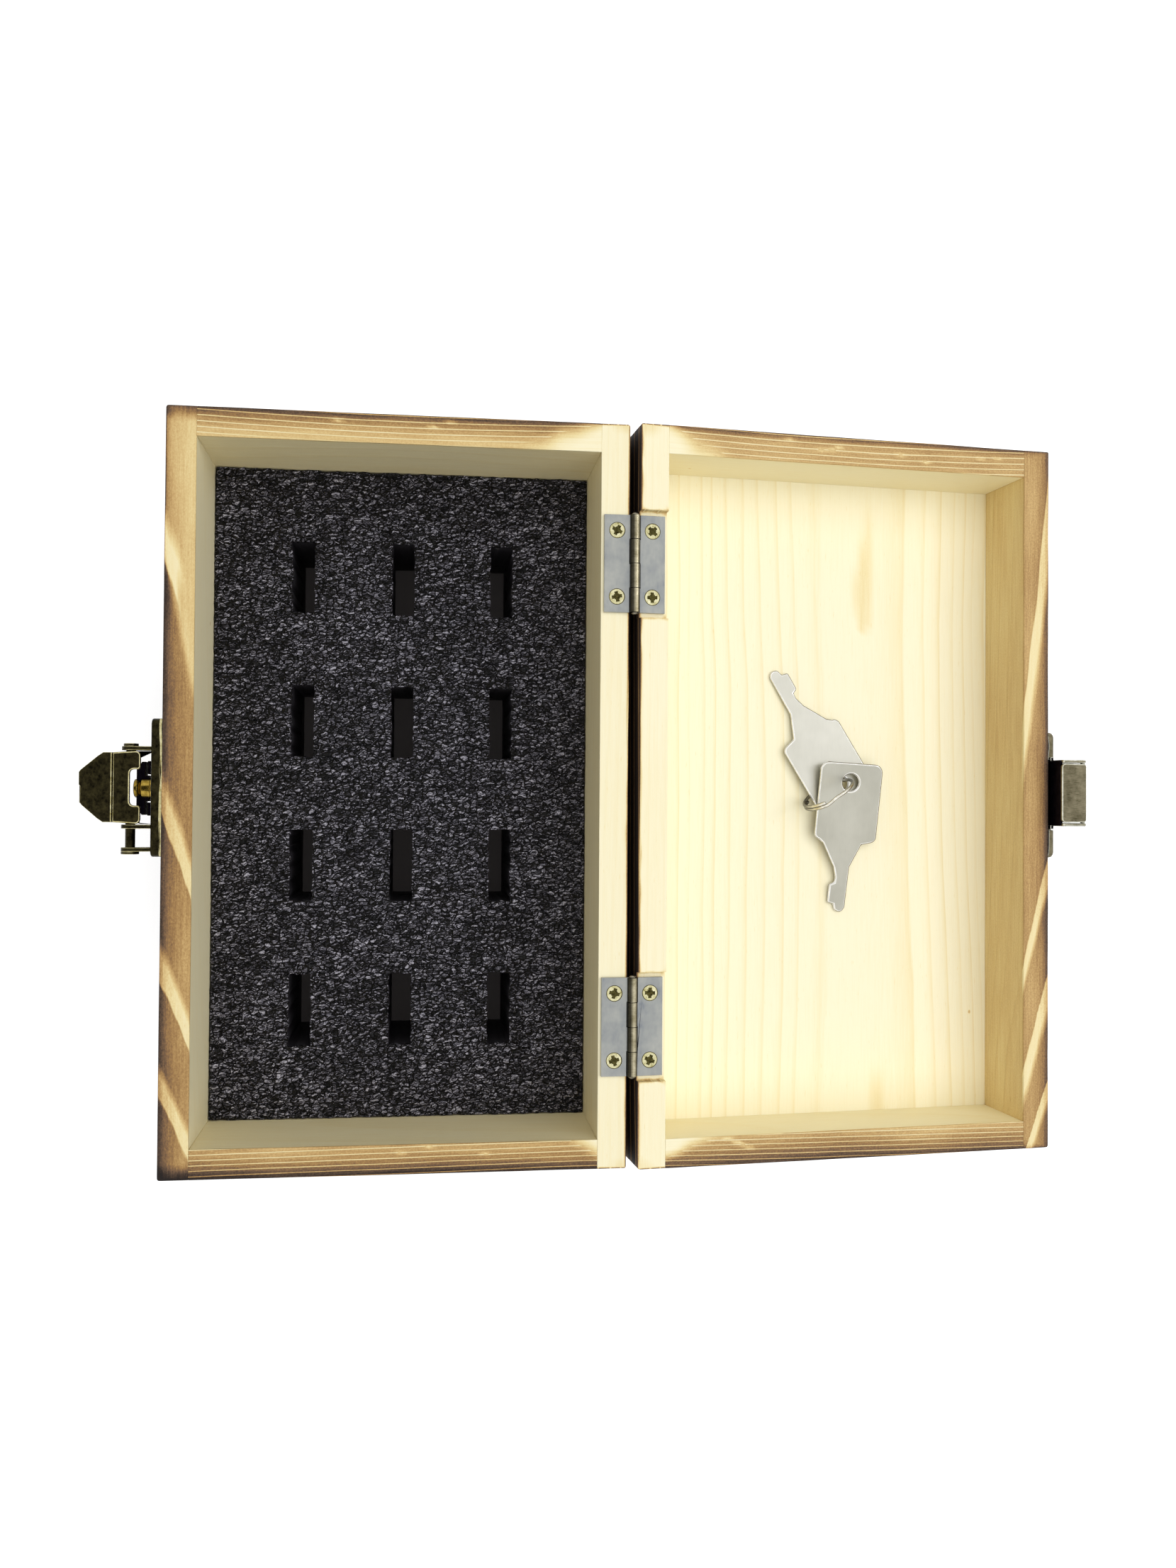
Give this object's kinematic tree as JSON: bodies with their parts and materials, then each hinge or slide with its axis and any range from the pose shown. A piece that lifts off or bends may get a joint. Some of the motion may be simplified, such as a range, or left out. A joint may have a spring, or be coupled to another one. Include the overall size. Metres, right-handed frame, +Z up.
{
  "type": "usb drive organizer case",
  "caption": "Hinged wooden case with a slotted foam insert for memory sticks, a lid that folds back, a lockable draw latch and keys on a split ring.",
  "frame": {"origin": "centre of the base's flat underside", "axes": "+Z up, +X along the hinges, -Y towards the latch side, +Y towards the hinges and the lid, which lies open at rest"},
  "size_m": [0.19, 0.2645, 0.0793],
  "materials": {
    "pale_pine": "sanded, bare",
    "charred_pine": "torched and wiped, matt",
    "black_foam": "closed-cell polyethylene foam",
    "zinc_plate": "zinc plated",
    "pin_steel": "bright",
    "brass_screw": "brass plated",
    "antique_bronze": "antique bronze plated",
    "lock_brass": "turned",
    "antique_pewter": "worn antique plating",
    "nickel_wire": "nickel plated",
    "nickel_key": "satin nickel"
  },
  "bodies": {
    "base": {"base_bottom_panel": "pale_pine", "base_front_wall": "charred_pine", "base_back_wall": "charred_pine", "base_left_wall": "charred_pine", "base_right_wall": "charred_pine", "foam_insert": "black_foam", "hinge_a_base_leaf": "zinc_plate", "hinge_b_base_leaf": "zinc_plate", "hinge_a_pin": "pin_steel", "hinge_b_pin": "pin_steel", "hinge_base_screws": "brass_screw", "latch_backplate": "antique_bronze", "latch_pivot_rivets": "antique_bronze", "latch_screws": "antique_bronze", "lock_collar": "lock_brass"},
    "lid": {"lid_top_panel": "pale_pine", "lid_front_wall": "charred_pine", "lid_back_wall": "charred_pine", "lid_left_wall": "charred_pine", "lid_right_wall": "charred_pine", "hinge_a_lid_leaf": "zinc_plate", "hinge_b_lid_leaf": "zinc_plate", "hinge_lid_screws": "brass_screw", "catch_plate": "antique_pewter", "catch_screws": "antique_pewter"},
    "lever": {"latch_lever": "antique_bronze", "latch_hook_pin": "antique_bronze"},
    "hook": {"draw_hook": "antique_bronze"},
    "lock": {"lock_plug": "lock_brass", "lock_bar": "antique_bronze"},
    "ring": {"key_ring": "nickel_wire"},
    "first_key": {"key_a": "nickel_key"},
    "second_key": {"key_b": "nickel_key"}
  },
  "joints": [
    {"name": "lid_hinge", "type": "hinge", "parent": "base", "child": "lid", "pos_m": [0, 0.059, 0.078], "axis": [1, 0, 0], "range_deg": [0, 185.3]},
    {"name": "latch_lever", "type": "hinge", "parent": "base", "child": "lever", "pos_m": [-0.0009, -0.06685, 0.068], "axis": [1, 0, 0], "range_deg": [-50, 95]},
    {"name": "draw_hook", "type": "hinge", "parent": "lever", "child": "hook", "pos_m": [-0.0009, -0.0708, 0.0676], "axis": [1, 0, 0], "range_deg": [-8, 136]},
    {"name": "lock_turn", "type": "hinge", "parent": "base", "child": "lock", "pos_m": [-0.0009, -0.06765, 0.0498], "axis": [0, -1, 0], "range_deg": [0, 90]},
    {"name": "keys_lift", "type": "slide", "parent": "lid", "child": "ring", "axis": [0, 0, 1], "range_m": [0, 0.03]},
    {"name": "key_a_turn", "type": "hinge", "parent": "ring", "child": "first_key", "pos_m": [-0.00368, 0.12049, 0.05499], "axis": [-0.0481, 0.0641, 0.9968], "range_deg": [-6, 6]},
    {"name": "key_b_turn", "type": "hinge", "parent": "ring", "child": "second_key", "pos_m": [-0.00403, 0.12307, 0.05711], "axis": [0.1208, 0.0864, 0.9889], "range_deg": [-6, 6]}
  ]
}
